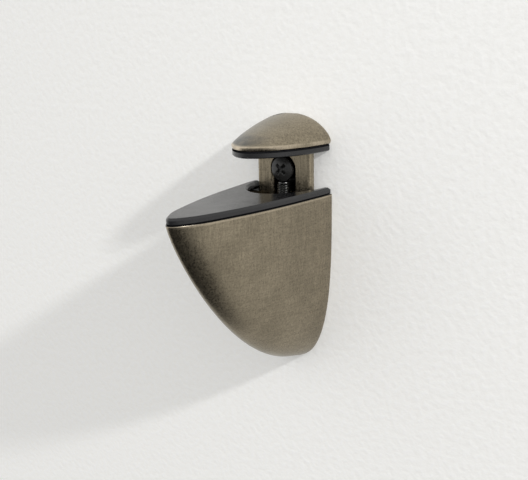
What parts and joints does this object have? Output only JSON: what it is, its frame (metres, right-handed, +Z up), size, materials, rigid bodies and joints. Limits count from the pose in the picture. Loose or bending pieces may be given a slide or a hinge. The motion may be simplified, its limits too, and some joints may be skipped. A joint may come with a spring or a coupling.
{
  "type": "shelf bracket",
  "caption": "Wall-mounted clamp bracket for a shelf: beak-shaped lower jaw with pad, and a domed upper jaw on a slotted stem raised by a screw.",
  "frame": {"origin": "on the wall face, on the centre line, level with the rim of the lower jaw", "axes": "+Z up, +Y into the wall, the bracket stands out along -Y, +X to the right as seen from the room"},
  "size_m": [0.0324, 0.1006, 0.088],
  "materials": {
    "antique_metal": "antique brushed bronze plating on a zinc casting, satin, darker on the nose",
    "black_pad": "black moulded plastic, fine satin",
    "black_screw": "black coated steel, satin",
    "plain_steel": "zinc plated steel"
  },
  "bodies": {
    "bracket": {"lower_jaw": "antique_metal", "lower_pad": "black_pad", "wall_screw": "black_screw"},
    "clamp_jaw": {"upper_jaw": "antique_metal", "upper_pad": "black_pad"},
    "adjuster": {"adjusting_screw": "plain_steel", "retaining_ring": "plain_steel"}
  },
  "joints": [
    {"name": "screw_turn", "type": "hinge", "parent": "bracket", "child": "adjuster", "pos_m": [0, -0.005, -0.055], "axis": [0, 0, -1], "range_deg": [0, 12600.5]},
    {"name": "jaw_slide", "type": "slide", "parent": "bracket", "child": "clamp_jaw", "axis": [0, 0, 1], "range_m": [0, 0.028]}
  ],
  "couplings": [
    {"joint": "screw_turn", "follows": "jaw_slide", "rad_per_m": 7854}
  ]
}
